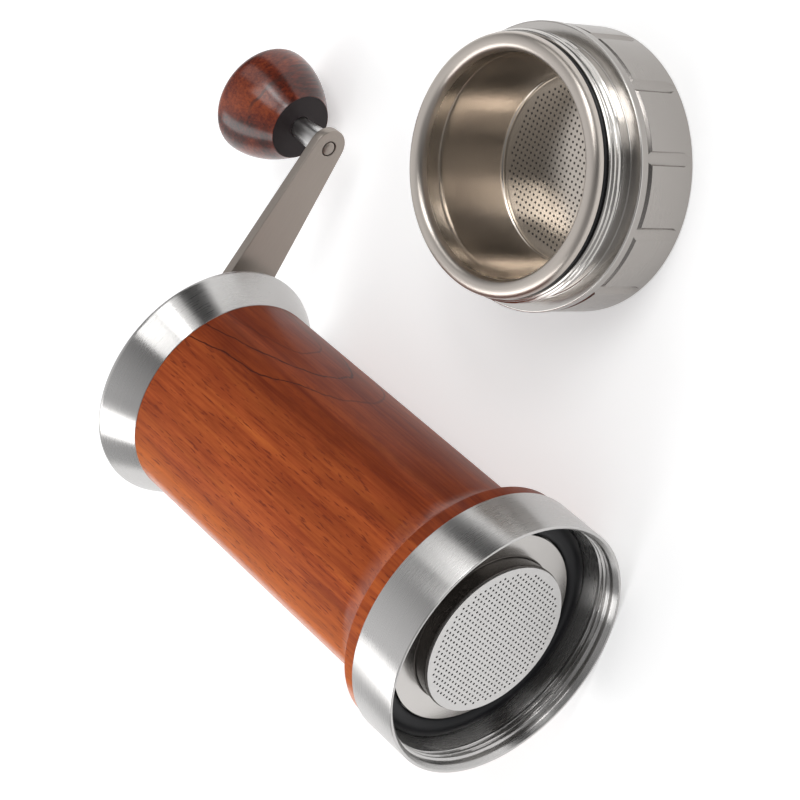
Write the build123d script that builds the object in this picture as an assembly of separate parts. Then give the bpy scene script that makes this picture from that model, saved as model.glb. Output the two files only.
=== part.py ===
from build123d import *
import os
from math import asin, cos, degrees, pi, radians, sin

# A hand-cranked espresso maker lying on its side, with its portafilter standing beside it.
# The barrel's axis is X, with +X out of the mouth. The origin is the centre of the mouth plane.
# The surface that both pieces lie on is ring_radius below the axis. All sizes are millimetres.

# Fits
fit_clearance = 0.1         # between pieces that are assembled and stay put
running_clearance = 0.05    # between a shaft and its bush
free_clearance = 0.3        # between curved faces that pass each other
end_clearance = 1.0         # between the plunger and its two stops
thread_clearance = 0.15     # between the collar's thread and the socket's
overrun = 2.0               # how far a cutting shape stands past the face it cuts

# Barrel, from the chamber outwards
bore_radius = 20.0
cylinder_wall = 3.0
wood_wall = 4.3
lip_rise = 5.2
lip_inset = 0.7
ring_wall = 1.8
wood_length = 98.3
lip_thickness = 4.4
cove_length = 7.5
cove_step = 0.4
cove_bend_share = 0.3
edge_chamfer = 0.5

# Socket in the base ring
socket_land = 4.4
relief_depth = 0.5
screen_setback = 0.35
screen_thickness = 0.5
screen_inset = 0.3
boss_height = 4.9
boss_rim = 1.6
dish_depth = 1.0
annulus_width = 5.4
gasket_inset = 1.35
gasket_width = 5.0
gasket_thickness = 1.4
floor_thickness = 3.25
spigot_length = 3.0
seal_width = 1.6
seal_depth = 1.3
water_hole_radius = 1.25
water_hole_count = 6
water_circle_share = 0.6
screen_hole_radius = 0.8
screen_rings = 4

# Cap and thrust bearing
cap_length = 9.7
cap_flare = 4.7
cap_wall = 4.0
cap_recess = 1.2
cap_rim_width = 5.0
journal_radius = 5.0
bush_wall = 2.5
bush_flange_width = 2.5
bush_flange_thickness = 1.5
thrust_washer_thickness = 1.0
ball_radius = 1.5
ball_count = 9
race_width = 5.0
cage_thickness = 1.4

# Screw and plunger
screw_lead = 4.0
crank_turns = 9.5
screw_radius = 6.0
screw_flange_thickness = 3.0
nut_flange_thickness = 3.0
nut_length = 15.0
nut_wall = 3.5
plunger_wall = 4.6
plunger_front = 4.5
ring_groove_width = 2.0
ring_groove_depth = 1.6
ring_groove_offset = 2.0
ring_groove_pitch = 3.8
key_width = 4.0
key_length = 5.0
key_depth = 2.0
keyway_depth = 1.6
nut_screw_radius = 1.25
nut_screw_length = 9.0
nut_screw_head_width = 0.8
nut_screw_head_height = 1.4
nut_screw_count = 4

# Crank
spacer_length = 3.3
spacer_width = 4.0
arm_length = 66.3
arm_thickness = 2.4
arm_hub_radius = 9.4
arm_tip_radius = 5.0
square_side = 7.0
stud_radius = 3.0
crank_washer_thickness = 1.2
crank_washer_width = 4.0
crank_nut_width = 11.0
crank_nut_height = 5.0
crank_nut_dome = 3.0
stud_tip_gap = 1.0

# Knob on its spindle
rivet_radius = 1.85
spindle_root_radius = 3.5
spindle_radius = 2.7
knob_gap = 9.9
knob_length = 20.0
knob_radius = 14.5
knob_neck_radius = 8.5
knob_flange_thickness = 0.5
knob_widest_share = 0.743
knob_flank_share = 0.337
knob_flank_radius_share = 0.86
knob_flank_slope_share = 0.78
knob_dome_share = 0.7
knob_dome_radius_share = 0.76
knob_bush_wall = 1.7
knob_bush_length = 11.0
snap_ring_width = 1.0
snap_ring_reach = 1.0
snap_ring_depth = 0.5
snap_ring_gap_angle = 40.0
knob_cavity = 3.0
floor_gap = 0.2

# Portafilter, standing on its base
porta_x = -59.2
porta_y = 92.7
grip_length = 14.6
grip_groove_length = 0.6
grip_groove_depth = 0.6
flange_length = 2.3
flange_rise = 0.2
relief_length = 3.5
collar_relief_depth = 0.9
thread_length = 4.0
flute_count = 12
flute_width = 3.3
flute_depth = 0.9
flute_foot = 1.0
grip_chamfer = 0.8
foot_chamfer = 0.3
collar_lip = 2.0
collar_lip_height = 2.2
collar_seal_thickness = 1.1
collar_seal_inset = 1.2
collar_wall = 4.25
basket_taper = 2.4
basket_sheet = 0.8
basket_floor_height = 3.6
basket_floor_chamfer = 1.2
rim_inset = 0.95
rim_height = 2.8
basket_hole_radius = 0.8
basket_rings = 4
hole_margin = 2.4
spring_wire_radius = 0.65
spring_gap_angle = 24.0
spring_offset = 5.5

# Radii that follow
cylinder_radius = bore_radius + cylinder_wall
wood_bore_radius = cylinder_radius + fit_clearance
barrel_radius = wood_bore_radius + wood_wall
lip_radius = barrel_radius + lip_rise
ring_radius = lip_radius + lip_inset
socket_radius = ring_radius - ring_wall
gasket_radius = socket_radius - gasket_inset
head_radius = gasket_radius - gasket_width - fit_clearance
boss_radius = head_radius - annulus_width
screen_radius = boss_radius - screen_inset
dish_radius = boss_radius - boss_rim
spigot_radius = bore_radius - fit_clearance
cap_rim_radius = barrel_radius + cap_flare
bush_radius = journal_radius + running_clearance + bush_wall
race_bore = journal_radius + fit_clearance
race_radius = race_bore + race_width
plunger_radius = bore_radius - free_clearance
plunger_bore = plunger_radius - plunger_wall
nut_bore = screw_radius + running_clearance
nut_radius = nut_bore + nut_wall
spacer_radius = journal_radius + running_clearance + spacer_width
knob_bore_radius = spindle_radius + running_clearance + knob_bush_wall

# Places along the barrel, from the mouth towards the crank
x_screen = -(socket_land + screen_setback)
x_boss = x_screen - screen_thickness
x_dish = x_boss - dish_depth
x_head = x_screen - boss_height
x_floor = x_head - gasket_thickness
x_spigot = x_floor - spigot_length
x_ring_back = x_floor - floor_thickness
x_wood_back = x_ring_back - wood_length
x_cap_back = x_wood_back - cap_length
x_cap_wall = x_cap_back + cap_wall
x_balls_rear = x_cap_wall + thrust_washer_thickness + running_clearance
x_balls = x_balls_rear + ball_radius
x_balls_front = x_balls + ball_radius + running_clearance
x_flange_rear = x_balls_front + thrust_washer_thickness
x_flange_front = x_flange_rear + screw_flange_thickness
x_nut_rear = x_flange_front + end_clearance
x_plunger_rear = x_nut_rear + nut_flange_thickness
stroke = screw_lead * crank_turns
x_plunger_front = x_spigot - end_clearance - stroke
x_plunger_inside = x_plunger_front - plunger_front
x_screw_tip = x_plunger_inside - end_clearance
x_key_front = x_plunger_rear + key_length
x_keyway_end = x_key_front + stroke + fit_clearance
x_bush_flange = x_cap_back - bush_flange_thickness
x_spacer = x_bush_flange - running_clearance
x_arm_front = x_spacer - spacer_length
x_arm_back = x_arm_front - arm_thickness
x_washer_back = x_arm_back - crank_washer_thickness
x_nut_flat = x_washer_back - crank_nut_height
x_nut_end = x_nut_flat - crank_nut_dome
x_stud_tip = x_nut_flat + stud_tip_gap
x_knob_neck = x_arm_back - knob_gap
x_knob_wood = x_knob_neck - knob_flange_thickness
x_knob_end = x_knob_neck - knob_length
x_bush_end = x_knob_wood - knob_bush_length
x_snap_ring = x_bush_end - running_clearance
x_snap_end = x_snap_ring - snap_ring_width
x_knob_bore_end = x_bush_end - knob_cavity
x_pin_tip = x_snap_end - snap_ring_width

# The knob rests on the surface, which sets how far the arm hangs below level
crank_drop = asin((ring_radius - knob_radius - floor_gap) / arm_length)

# Portafilter heights above its base, and radii
z_groove = grip_length
z_flange = z_groove + grip_groove_length
z_relief = z_flange + flange_length
z_thread = z_relief + relief_length
z_seal = z_thread + thread_length
z_rim = z_seal + collar_seal_thickness
z_rim_top = z_rim + rim_height
grip_radius = ring_radius
flange_radius = grip_radius + flange_rise
collar_thread_radius = socket_radius - thread_clearance
collar_bore = collar_thread_radius - collar_wall
basket_radius = collar_bore - free_clearance - basket_sheet
rim_radius = collar_thread_radius - rim_inset
basket_floor_radius = basket_radius - basket_taper
z_spring = z_seal - spring_offset


def turned(points):
    """Solid of revolution about the barrel's axis, from (x, radius) points."""
    outline = Polyline(*[(x, radius, 0) for x, radius in points], close=True)
    return revolve(make_face(outline), Axis.X)


def sleeve(x_a, x_b, inner, outer):
    """Plain ring about the barrel's axis between two places."""
    return turned([(x_a, inner), (x_a, outer), (x_b, outer), (x_b, inner)])


def upright(points):
    """Solid of revolution about the vertical axis, from (radius, height) points."""
    outline = Polyline(*[(radius, 0, z) for radius, z in points], close=True)
    return revolve(make_face(outline), Axis.Z)


def along_x(sketch, x_a, x_b):
    """A sketch drawn across the barrel's axis, extruded from one place to another."""
    return extrude(Plane.YZ.offset(x_a) * sketch, x_b - x_a)


def hexagon_grid(pitch, rings):
    """Centres of a hexagonal field of holes with the given number of rings round the middle."""
    centres = []
    for i in range(-rings, rings + 1):
        for j in range(max(-rings, -i - rings), min(rings, rings - i) + 1):
            centres.append((pitch * (i + j / 2), pitch * j * sin(radians(60))))
    return centres


def polar(radius, count, start=0.0):
    """Centres of a ring of holes."""
    angles = [radians(start) + 2 * pi * i / count for i in range(count)]
    return [(radius * cos(a), radius * sin(a)) for a in angles]


def discs(centres, radius):
    """Flat discs at the given centres."""
    return Sketch() + [Pos(a, b) * Circle(radius) for a, b in centres]


def on_crank(shape):
    """Turns a crank piece from level to where it hangs at rest."""
    return Rot(X=-degrees(crank_drop)) * shape


def at_tip(shape):
    """Carries a piece from the barrel's axis to the tip of the crank arm."""
    return on_crank(Pos(0, arm_length, 0) * shape)


def on_table(shape):
    """Stands a portafilter piece on the surface beside the barrel."""
    return Pos(porta_x, porta_y, -ring_radius) * shape


def make_wood_barrel():
    """Straight sleeve with a lip at the mouth end and a cove that runs out to it."""
    x_lip = x_ring_back - lip_thickness
    x_cove = x_lip - cove_length
    cove_top = lip_radius - cove_step
    cove_rise = cove_top - barrel_radius
    bend = (x_lip - cove_length * cove_bend_share, barrel_radius + cove_rise * cove_bend_share)
    edges = [
        Line((x_wood_back, wood_bore_radius), (x_wood_back, barrel_radius)),
        Line((x_wood_back, barrel_radius), (x_cove, barrel_radius)),
        ThreePointArc((x_cove, barrel_radius), bend, (x_lip, cove_top)),
        Line((x_lip, cove_top), (x_lip, lip_radius - edge_chamfer)),
        Line((x_lip, lip_radius - edge_chamfer), (x_lip + edge_chamfer, lip_radius)),
        Line((x_lip + edge_chamfer, lip_radius), (x_ring_back, lip_radius)),
        Line((x_ring_back, lip_radius), (x_ring_back, wood_bore_radius)),
        Line((x_ring_back, wood_bore_radius), (x_wood_back, wood_bore_radius)),
    ]
    return revolve(make_face(edges), Axis.X)


def make_base_ring():
    """Ring with the threaded socket, a relief behind the thread and a floor round the cylinder."""
    floor_bore = cylinder_radius + fit_clearance
    relief_radius = socket_radius + relief_depth
    return turned([
        (0, socket_radius),
        (0, ring_radius - edge_chamfer),
        (-edge_chamfer, ring_radius),
        (x_ring_back, ring_radius),
        (x_ring_back, floor_bore),
        (x_floor, floor_bore),
        (x_floor, relief_radius),
        (-socket_land, relief_radius),
        (-socket_land, socket_radius),
    ])


def make_cylinder():
    """Water chamber. Two keyways run forward from its crank end and stop short of the seals."""
    tube = sleeve(x_cap_wall, x_floor, bore_radius, cylinder_radius)
    slot_width = key_width + 2 * fit_clearance
    slot_top = bore_radius + keyway_depth
    for side in (1, -1):
        slot = Pos(0, side * slot_top / 2) * Rectangle(slot_width, slot_top)
        tube -= along_x(Rot(Z=90) * slot, x_cap_wall - overrun, x_keyway_end)
    return tube


def make_group_head():
    """Plate with a boss in front, a dish behind the screen and a spigot into the cylinder."""
    groove_front = x_floor - (spigot_length - seal_width) / 2
    groove_radius = spigot_radius - seal_depth
    head = turned([
        (x_dish, 0),
        (x_dish, dish_radius),
        (x_boss, dish_radius),
        (x_boss, boss_radius),
        (x_head, boss_radius),
        (x_head, head_radius),
        (x_floor, head_radius),
        (x_floor, spigot_radius),
        (groove_front, spigot_radius),
        (groove_front, groove_radius),
        (groove_front - seal_width, groove_radius),
        (groove_front - seal_width, spigot_radius),
        (x_spigot, spigot_radius),
        (x_spigot, 0),
    ])
    holes = discs([(0, 0)] + polar(dish_radius * water_circle_share, water_hole_count), water_hole_radius)
    return head - along_x(holes, x_spigot - overrun, x_dish + overrun)


def make_head_seal():
    """Ring seal in the spigot's groove."""
    groove_front = x_floor - (spigot_length - seal_width) / 2
    groove_radius = spigot_radius - seal_depth
    return sleeve(groove_front, groove_front - seal_width, groove_radius, spigot_radius)


def make_shower_screen():
    """Perforated disc on the rim of the boss."""
    pitch = (screen_radius - hole_margin) / screen_rings
    plate = Circle(screen_radius) - discs(hexagon_grid(pitch, screen_rings), screen_hole_radius)
    return along_x(plate, x_boss, x_screen)


def make_top_cap():
    """Flared cap that screws over the cylinder's end, with a shallow recess in its back."""
    socket = cylinder_radius + fit_clearance
    recess_radius = cap_rim_radius - cap_rim_width
    x_recess = x_cap_back + cap_recess
    return turned([
        (x_wood_back, socket),
        (x_wood_back, barrel_radius),
        (x_cap_back + edge_chamfer, cap_rim_radius),
        (x_cap_back, cap_rim_radius - edge_chamfer),
        (x_cap_back, recess_radius),
        (x_recess, recess_radius - cap_recess),
        (x_recess, bush_radius + bush_flange_width + cap_recess),
        (x_cap_back, bush_radius + bush_flange_width),
        (x_cap_back, bush_radius + fit_clearance),
        (x_cap_wall, bush_radius + fit_clearance),
        (x_cap_wall, socket),
    ])


def make_shaft_bush():
    """Flanged bush for the screw's journal, pressed into the cap from outside."""
    bore = journal_radius + running_clearance
    flange = bush_radius + bush_flange_width
    return turned([
        (x_cap_wall, bore),
        (x_cap_wall, bush_radius),
        (x_cap_back, bush_radius),
        (x_cap_back, flange),
        (x_bush_flange, flange),
        (x_bush_flange, bore),
    ])


def make_thrust_balls():
    """Ring of balls between the two thrust washers."""
    track = race_bore + race_width / 2
    balls = [Pos(x_balls, a, b) * Sphere(ball_radius) for a, b in polar(track, ball_count)]
    return Compound(children=balls)


def make_ball_cage():
    """Thin ring with a pocket for each ball."""
    track = race_bore + race_width / 2
    inner = race_bore + fit_clearance
    cage = sleeve(x_balls - cage_thickness / 2, x_balls + cage_thickness / 2, inner, race_radius)
    pockets = discs(polar(track, ball_count), ball_radius + fit_clearance)
    return cage - along_x(pockets, x_balls - cage_thickness, x_balls + cage_thickness)


def make_lead_screw():
    """Screw, thrust flange, journal, square for the arm and stud for the nut."""
    shaft = turned([
        (x_screw_tip, 0),
        (x_screw_tip, screw_radius - edge_chamfer),
        (x_screw_tip - edge_chamfer, screw_radius),
        (x_flange_front, screw_radius),
        (x_flange_front, race_radius),
        (x_flange_rear, race_radius),
        (x_flange_rear, journal_radius),
        (x_arm_front, journal_radius),
        (x_arm_front, stud_radius),
        (x_stud_tip, stud_radius),
        (x_stud_tip, 0),
    ])
    square = along_x(Rectangle(square_side, square_side), x_arm_back, x_arm_front)
    return on_crank(shaft + square)


def make_crank_arm():
    """Flat arm that tapers from its hub to a round tip, with a square hole and a rivet hole."""
    rounds = Circle(arm_hub_radius) + Pos(arm_length, 0) * Circle(arm_tip_radius)
    plan = make_hull(rounds.edges())
    hole = square_side + 2 * running_clearance
    plan -= Rectangle(hole, hole)
    plan -= Pos(arm_length, 0) * Circle(rivet_radius + running_clearance)
    return on_crank(along_x(plan, x_arm_back, x_arm_front))


def make_crank_nut():
    """Domed hexagon nut on the stud."""
    across = RegularPolygon(crank_nut_width / 2, 6, major_radius=False)
    body = along_x(across, x_nut_flat, x_washer_back)
    dome_radius = crank_nut_width / 2
    dome = revolve(make_face([
        Line((x_nut_flat, 0), (x_nut_flat, dome_radius)),
        ThreePointArc(
            (x_nut_flat, dome_radius),
            (x_nut_flat - crank_nut_dome * sin(radians(45)), dome_radius * cos(radians(45))),
            (x_nut_end, 0),
        ),
        Line((x_nut_end, 0), (x_nut_flat, 0)),
    ]), Axis.X)
    bore = Circle(stud_radius + running_clearance)
    nut = body + dome
    return on_crank(nut - along_x(bore, x_nut_flat, x_washer_back + overrun))


def make_knob_spindle():
    """Peened end in the arm, tapered shoulder, and a pin that carries the knob."""
    groove_radius = spindle_radius - snap_ring_depth
    groove_front = x_snap_ring + running_clearance
    groove_back = x_snap_end - running_clearance
    x_shoulder = x_knob_neck + free_clearance
    return at_tip(turned([
        (x_arm_front, 0),
        (x_arm_front, rivet_radius),
        (x_arm_back, rivet_radius),
        (x_arm_back, spindle_root_radius),
        (x_shoulder, spindle_radius),
        (groove_front, spindle_radius),
        (groove_front, groove_radius),
        (groove_back, groove_radius),
        (groove_back, spindle_radius),
        (x_pin_tip, spindle_radius),
        (x_pin_tip, 0),
    ]))


def make_knob_snap_ring():
    """Open ring in the pin's groove, behind the bush."""
    inner = spindle_radius - snap_ring_depth + running_clearance
    outer = spindle_radius + snap_ring_reach
    outline = Polyline(
        (x_snap_ring, inner), (x_snap_ring, outer), (x_snap_end, outer), (x_snap_end, inner), close=True
    )
    return at_tip(revolve(make_face(outline), Axis.X, 360 - snap_ring_gap_angle))


def make_knob():
    """Mushroom knob: a flank that widens from the neck and a full dome, bored for its bush."""
    x_widest = x_knob_neck - knob_length * knob_widest_share
    x_flank = x_knob_neck - knob_length * knob_flank_share
    flank = (x_flank, knob_radius * knob_flank_radius_share)
    dome_length = x_widest - x_knob_end
    dome_bend = (x_widest - dome_length * knob_dome_share, knob_radius * knob_dome_radius_share)
    neck = (x_knob_wood, knob_neck_radius)
    widest = (x_widest, knob_radius)
    return at_tip(revolve(make_face([
        Line((x_knob_bore_end, 0), (x_knob_bore_end, knob_bore_radius)),
        Line((x_knob_bore_end, knob_bore_radius), (x_knob_wood, knob_bore_radius)),
        Line((x_knob_wood, knob_bore_radius), neck),
        Spline(neck, flank, widest, tangents=[(-1, knob_flank_slope_share), (-1, 0)]),
        Spline(widest, dome_bend, (x_knob_end, 0), tangents=[(-1, 0), (0, -1)]),
        Line((x_knob_end, 0), (x_knob_bore_end, 0)),
    ]), Axis.X))


def make_knob_bush():
    """Bush pressed into the knob, with a flange that covers the knob's neck."""
    inner = spindle_radius + running_clearance
    return at_tip(turned([
        (x_bush_end, inner),
        (x_bush_end, knob_bore_radius),
        (x_knob_wood, knob_bore_radius),
        (x_knob_wood, knob_neck_radius),
        (x_knob_neck, knob_neck_radius),
        (x_knob_neck, inner),
    ]))


def groove_fronts():
    """Front faces of the plunger's two ring grooves."""
    first = x_plunger_front - ring_groove_offset
    return [first, first - ring_groove_pitch]


def make_plunger():
    """Cup with two ring grooves near its closed end and two key pockets at its open end."""
    groove_radius = plunger_radius - ring_groove_depth
    cup = turned([
        (x_plunger_front, 0),
        (x_plunger_front, plunger_radius - edge_chamfer),
        (x_plunger_front - edge_chamfer, plunger_radius),
        (x_plunger_rear, plunger_radius),
        (x_plunger_rear, plunger_bore),
        (x_plunger_inside, plunger_bore),
        (x_plunger_inside, 0),
    ])
    for front in groove_fronts():
        cup -= sleeve(front, front - ring_groove_width, groove_radius, plunger_radius + overrun)
    pocket_floor = plunger_radius - key_depth
    for side in (1, -1):
        pocket = Pos(side * (pocket_floor + overrun), 0) * Rectangle(2 * overrun, key_width)
        cup -= along_x(pocket, x_plunger_rear - overrun, x_key_front)
    screw_holes = discs(nut_screw_centres(), nut_screw_radius)
    return cup - along_x(screw_holes, x_plunger_rear - overrun, x_screw_end())


def nut_screw_centres():
    """Screws stand in the plunger's wall, between the keys."""
    return polar(plunger_radius - plunger_wall / 2, nut_screw_count, 180 / nut_screw_count)


def x_screw_end():
    """Front end of the nut screws."""
    return x_nut_rear + nut_screw_length


def make_plunger_seals():
    """Ring seals that fill the plunger's grooves and run in the cylinder's bore."""
    inner = plunger_radius - ring_groove_depth
    outer = bore_radius - running_clearance
    rings = [sleeve(front, front - ring_groove_width, inner, outer) for front in groove_fronts()]
    return Compound(children=rings)


def make_drive_nut():
    """Flanged nut on the plunger's open end, its barrel inside the plunger."""
    flange = plunger_radius - fit_clearance
    x_nut_front = x_nut_rear + nut_length
    nut = turned([
        (x_nut_rear, nut_bore),
        (x_nut_rear, flange),
        (x_plunger_rear, flange),
        (x_plunger_rear, nut_radius),
        (x_nut_front, nut_radius),
        (x_nut_front, nut_bore),
    ])
    centres = nut_screw_centres()
    nut -= along_x(discs(centres, nut_screw_radius), x_nut_rear - overrun, x_plunger_rear + overrun)
    heads = discs(centres, nut_screw_radius + nut_screw_head_width)
    return nut - along_x(heads, x_nut_rear - overrun, x_nut_rear + nut_screw_head_height)


def make_nut_screws():
    """Sunk cap screws that hold the nut to the plunger."""
    screws = []
    for centre in nut_screw_centres():
        shank = along_x(discs([centre], nut_screw_radius), x_nut_rear, x_screw_end())
        head = discs([centre], nut_screw_radius + nut_screw_head_width)
        screws.append(shank + along_x(head, x_nut_rear, x_nut_rear + nut_screw_head_height))
    return Compound(children=screws)


def make_guide_keys():
    """Keys in the plunger's pockets that run in the cylinder's keyways."""
    inner = plunger_radius - key_depth
    outer = bore_radius + keyway_depth - free_clearance
    keys = []
    for side in (1, -1):
        section = Pos(side * (inner + outer) / 2, 0) * Rectangle(outer - inner, key_width)
        keys.append(along_x(section, x_plunger_rear, x_key_front))
    return Compound(children=keys)


def make_portafilter_collar():
    """Collar with a grip, a flange, a relief and a thread land, open right through."""
    relief_radius = collar_thread_radius - collar_relief_depth
    groove_radius = grip_radius - grip_groove_depth
    lip_bore = collar_bore - collar_lip
    collar = upright([
        (lip_bore, 0),
        (grip_radius - foot_chamfer, 0),
        (grip_radius, foot_chamfer),
        (grip_radius, z_groove - grip_chamfer),
        (grip_radius - grip_chamfer, z_groove),
        (groove_radius - grip_chamfer, z_groove),
        (groove_radius - grip_chamfer, z_flange),
        (flange_radius, z_flange),
        (flange_radius, z_relief),
        (relief_radius, z_relief),
        (relief_radius, z_thread),
        (collar_thread_radius, z_thread),
        (collar_thread_radius, z_seal),
        (collar_bore, z_seal),
        (collar_bore, collar_lip_height),
        (lip_bore, collar_lip_height),
    ])
    groove_outer = collar_bore + 2 * spring_wire_radius
    half = spring_wire_radius + fit_clearance
    collar -= upright([
        (collar_bore - free_clearance, z_spring - half),
        (groove_outer, z_spring - half),
        (groove_outer, z_spring + half),
        (collar_bore - free_clearance, z_spring + half),
    ])
    return on_table(collar - flutes())


def flutes():
    """Round-bottomed flutes along the grip, open at the groove, that end on a whole rim at the foot."""
    cutter_radius = (flute_width ** 2 / 4 + flute_depth ** 2) / (2 * flute_depth)
    centre_radius = grip_radius - flute_depth + cutter_radius
    top = z_groove + grip_groove_length / 2
    cutters = Pos(0, 0, flute_foot) * discs(polar(centre_radius, flute_count), cutter_radius)
    return extrude(cutters, top - flute_foot)


def make_collar_seal():
    """Flat seal between the collar's end and the basket's rim."""
    outer = collar_thread_radius - collar_seal_inset
    return on_table(upright([(collar_bore, z_seal), (outer, z_seal), (outer, z_rim), (collar_bore, z_rim)]))


def make_basket_spring():
    """Open wire ring in the collar's groove."""
    ring = collar_bore + spring_wire_radius
    wire = Plane.XZ * Pos(ring, z_spring) * Circle(spring_wire_radius)
    return on_table(revolve(wire, Axis.Z, 360 - spring_gap_angle))


def make_filter_basket():
    """Tapered cup of sheet steel with a rolled rim and a perforated floor."""
    floor_top = basket_floor_height + basket_sheet
    outer = basket_radius + basket_sheet
    foot = basket_floor_radius - basket_floor_chamfer
    heel = (basket_floor_radius, 0, basket_floor_height + basket_floor_chamfer)
    rim_mid = (basket_radius + rim_radius) / 2
    cup = revolve(make_face([
        Line((0, 0, basket_floor_height), (foot, 0, basket_floor_height)),
        Line((foot, 0, basket_floor_height), heel),
        Line(heel, (outer, 0, z_thread)),
        Line((outer, 0, z_thread), (outer, 0, z_rim)),
        Line((outer, 0, z_rim), (rim_radius, 0, z_rim)),
        ThreePointArc((rim_radius, 0, z_rim), (rim_mid, 0, z_rim_top), (basket_radius, 0, z_rim)),
        Line((basket_radius, 0, z_rim), (basket_radius, 0, z_thread)),
        Line((basket_radius, 0, z_thread), (foot, 0, floor_top)),
        Line((foot, 0, floor_top), (0, 0, floor_top)),
        Line((0, 0, floor_top), (0, 0, basket_floor_height)),
    ]), Axis.Z)
    pitch = (foot - hole_margin) / basket_rings
    holes = discs(hexagon_grid(pitch, basket_rings), basket_hole_radius)
    cutters = extrude(Pos(0, 0, basket_floor_height - overrun) * holes, 2 * overrun + basket_sheet)
    return on_table(cup - cutters)


nodes = {
    "wood_barrel": make_wood_barrel(),
    "base_ring": make_base_ring(),
    "cylinder": make_cylinder(),
    "group_head": make_group_head(),
    "head_seal": make_head_seal(),
    "shower_screen": make_shower_screen(),
    "group_gasket": sleeve(x_head, x_floor, head_radius + fit_clearance, gasket_radius),
    "top_cap": make_top_cap(),
    "shaft_bush": make_shaft_bush(),
    "thrust_washer_rear": sleeve(x_cap_wall, x_cap_wall + thrust_washer_thickness, race_bore, race_radius),
    "thrust_washer_front": sleeve(x_balls_front, x_flange_rear, race_bore, race_radius),
    "thrust_balls": make_thrust_balls(),
    "ball_cage": make_ball_cage(),
    "lead_screw": make_lead_screw(),
    "hub_spacer": sleeve(x_arm_front, x_spacer, journal_radius + running_clearance, spacer_radius),
    "crank_arm": make_crank_arm(),
    "crank_washer": sleeve(
        x_washer_back, x_arm_back, stud_radius + fit_clearance, stud_radius + crank_washer_width
    ),
    "crank_nut": make_crank_nut(),
    "knob_spindle": make_knob_spindle(),
    "knob_snap_ring": make_knob_snap_ring(),
    "knob": make_knob(),
    "knob_bush": make_knob_bush(),
    "plunger": make_plunger(),
    "plunger_seals": make_plunger_seals(),
    "drive_nut": make_drive_nut(),
    "nut_screws": make_nut_screws(),
    "guide_keys": make_guide_keys(),
    "portafilter_collar": make_portafilter_collar(),
    "collar_seal": make_collar_seal(),
    "basket_spring": make_basket_spring(),
    "filter_basket": make_filter_basket(),
}

os.makedirs("parts", exist_ok=True)
for name, shape in nodes.items():
    export_step(shape, f"parts/{name}.step")
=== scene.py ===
from math import atan2, cos, hypot, pi, radians, sin, sqrt

import bmesh
import bpy
from mathutils import Matrix, Vector


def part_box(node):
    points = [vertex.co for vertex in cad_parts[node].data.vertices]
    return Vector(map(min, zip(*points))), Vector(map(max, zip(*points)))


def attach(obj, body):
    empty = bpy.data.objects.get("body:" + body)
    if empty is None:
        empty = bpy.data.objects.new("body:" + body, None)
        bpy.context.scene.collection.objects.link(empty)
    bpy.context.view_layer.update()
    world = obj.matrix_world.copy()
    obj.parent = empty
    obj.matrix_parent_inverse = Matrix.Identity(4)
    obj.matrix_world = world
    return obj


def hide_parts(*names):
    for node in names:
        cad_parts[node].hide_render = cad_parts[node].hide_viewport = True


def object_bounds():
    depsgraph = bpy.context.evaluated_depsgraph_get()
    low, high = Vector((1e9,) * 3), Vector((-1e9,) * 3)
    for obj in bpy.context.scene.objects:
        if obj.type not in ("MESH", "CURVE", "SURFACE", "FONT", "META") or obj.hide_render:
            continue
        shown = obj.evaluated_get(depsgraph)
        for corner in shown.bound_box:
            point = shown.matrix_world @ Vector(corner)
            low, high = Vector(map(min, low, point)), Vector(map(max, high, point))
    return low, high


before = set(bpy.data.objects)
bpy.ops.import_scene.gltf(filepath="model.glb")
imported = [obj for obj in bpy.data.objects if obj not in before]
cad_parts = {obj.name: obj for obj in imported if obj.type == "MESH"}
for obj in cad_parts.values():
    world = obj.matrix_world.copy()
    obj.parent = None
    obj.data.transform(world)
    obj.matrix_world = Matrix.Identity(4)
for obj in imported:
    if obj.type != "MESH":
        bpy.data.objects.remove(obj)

cad_low, cad_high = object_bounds()

# Sizes are millimetres until a mesh is made. MM turns them into the frame's metres.
MM = 0.001

# Camera, worked out from the round edges in the photograph (millimetres, pixels of an 800 x 800 picture)
CAMERA_PLACE = (350.5, 282.9, 448.4)
CAMERA_RIGHT = (0.6011, 0.3256, -0.7298)
CAMERA_UP = (-0.5014, 0.8648, -0.0272)
CAMERA_FOCAL_PIXELS = 2806.8
PICTURE_PIXELS = 800

# Fineness of turned pieces
SEGMENTS = 256
FLUTE_SIDES = 64
SPINDLE_SIDES = 96
BUSH_SIDES = 128
KNOB_SIDES = 160
HOLE_SIDES = 10
FILLET_STEPS = 4
THREAD_STEPS = 10
FACE_STEPS = 20
CURVE_STEPS = 24
MERGE_DISTANCE = 1e-7

# Angles in degrees above which faces meet in a sharp edge
CREASE_ANGLE = 40.0
FLAT_CREASE = 30.0
SOFT_CREASE = 60.0

# Sizes that the frame's boxes don't give
BARREL_RADIUS = 27.4
COVE_LENGTH = 7.6
COVE_STEP = 1.3
COVE_PULL = 1.2
LIP_THICKNESS = 4.4
LIP_ROUND = 1.3
RING_WALL = 1.8
RING_EDGE = 0.35
MOUTH_CHAMFER = 1.2
SOCKET_RELIEF = 0.3
THREAD_PITCH = 1.4
THREAD_FADE = 0.6
THREAD_DEPTH = 0.55
SOCKET_THREAD = (-6.6, -2.2)
GASKET_BULGE = 0.7
HEAD_RIM = 1.6
HEAD_RECESS = 1
BOSS_MARGIN = 0.3
BOSS_TAPER = 0.5
CAP_JOURNAL = 7.6
CAP_RECESS = 1.2
CAP_LAND = 5.0
CAP_SLOPE = 1.2
SCREEN_HOLE_RADIUS = 0.31
SCREEN_HOLE_PITCH = 1.4
SCREEN_ROW_STEP = 1.22
SCREEN_BORDER = 1.5
ARM_HUB_RADIUS = 9.4
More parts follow.
